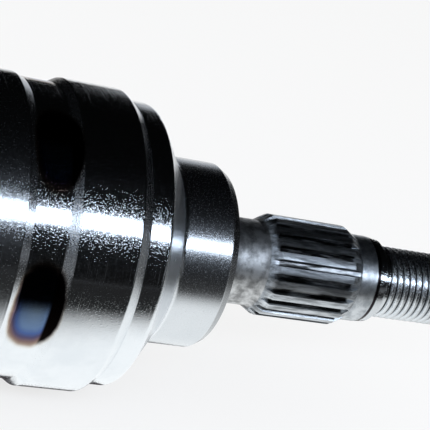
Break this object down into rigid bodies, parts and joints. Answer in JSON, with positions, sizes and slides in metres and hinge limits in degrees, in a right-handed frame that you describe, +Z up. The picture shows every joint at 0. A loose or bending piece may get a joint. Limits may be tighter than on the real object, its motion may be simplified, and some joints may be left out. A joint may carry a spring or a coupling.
{
  "type": "constant velocity joint",
  "caption": "Outer constant-velocity joint: open steel bell with a splined and threaded stub axle, holding a cage, balls and a splined inner race that swivel for steering.",
  "frame": {"origin": "joint centre, where the axes of the drive shaft and the stub axle cross", "axes": "+X along the stub axle towards its thread, +Z up, one ball on +Y"},
  "size_m": [0.1464, 0.078, 0.078],
  "materials": {
    "race_steel": "fine turned steel, heat-tinted over the ball tracks",
    "cage_steel": "dark hardened steel",
    "hub_steel": "ground steel",
    "clip_steel": "dark spring steel",
    "ball_steel": "polished"
  },
  "bodies": {
    "outer": {"outer_race": "race_steel"},
    "inner": {"inner_race": "hub_steel", "circlip": "clip_steel"},
    "cage": {"cage": "cage_steel"},
    "ball_1": {"ball_1": "ball_steel"},
    "ball_2": {"ball_2": "ball_steel"},
    "ball_3": {"ball_3": "ball_steel"},
    "ball_4": {"ball_4": "ball_steel"},
    "ball_5": {"ball_5": "ball_steel"},
    "ball_6": {"ball_6": "ball_steel"}
  },
  "joints": [
    {"name": "bend", "type": "hinge", "parent": "outer", "child": "inner", "pos_m": [0, 0, 0], "axis": [0, 0, 1], "range_deg": [-45, 45]},
    {"name": "cage_tilt", "type": "hinge", "parent": "outer", "child": "cage", "pos_m": [0, 0, 0], "axis": [0, 0, 1], "range_deg": [-23, 23]},
    {"name": "ball_1_roll_along", "type": "hinge", "parent": "outer", "child": "ball_1", "pos_m": [-0.0033, 0, 0], "axis": [0, 0, 1], "range_deg": [-23, 23]},
    {"name": "ball_2_roll_along", "type": "hinge", "parent": "outer", "child": "ball_2", "pos_m": [-0.0033, 0, 0], "axis": [0, -0.866, 0.5], "range_deg": [-12, 12]},
    {"name": "ball_3_roll_along", "type": "hinge", "parent": "outer", "child": "ball_3", "pos_m": [-0.0033, 0, 0], "axis": [0, -0.866, -0.5], "range_deg": [-12, 12]},
    {"name": "ball_4_roll_along", "type": "hinge", "parent": "outer", "child": "ball_4", "pos_m": [-0.0033, 0, 0], "axis": [0, 0, -1], "range_deg": [-23, 23]},
    {"name": "ball_5_roll_along", "type": "hinge", "parent": "outer", "child": "ball_5", "pos_m": [-0.0033, 0, 0], "axis": [0, 0.866, -0.5], "range_deg": [-12, 12]},
    {"name": "ball_6_roll_along", "type": "hinge", "parent": "outer", "child": "ball_6", "pos_m": [-0.0033, 0, 0], "axis": [0, 0.866, 0.5], "range_deg": [-12, 12]}
  ],
  "couplings": [
    {"joint": "cage_tilt", "follows": "bend", "ratio": 0.5},
    {"joint": "ball_1_roll_along", "follows": "bend", "ratio": 0.5},
    {"joint": "ball_2_roll_along", "follows": "bend", "ratio": 0.257},
    {"joint": "ball_3_roll_along", "follows": "bend", "ratio": -0.257},
    {"joint": "ball_4_roll_along", "follows": "bend", "ratio": -0.5},
    {"joint": "ball_5_roll_along", "follows": "bend", "ratio": -0.257},
    {"joint": "ball_6_roll_along", "follows": "bend", "ratio": 0.257}
  ]
}
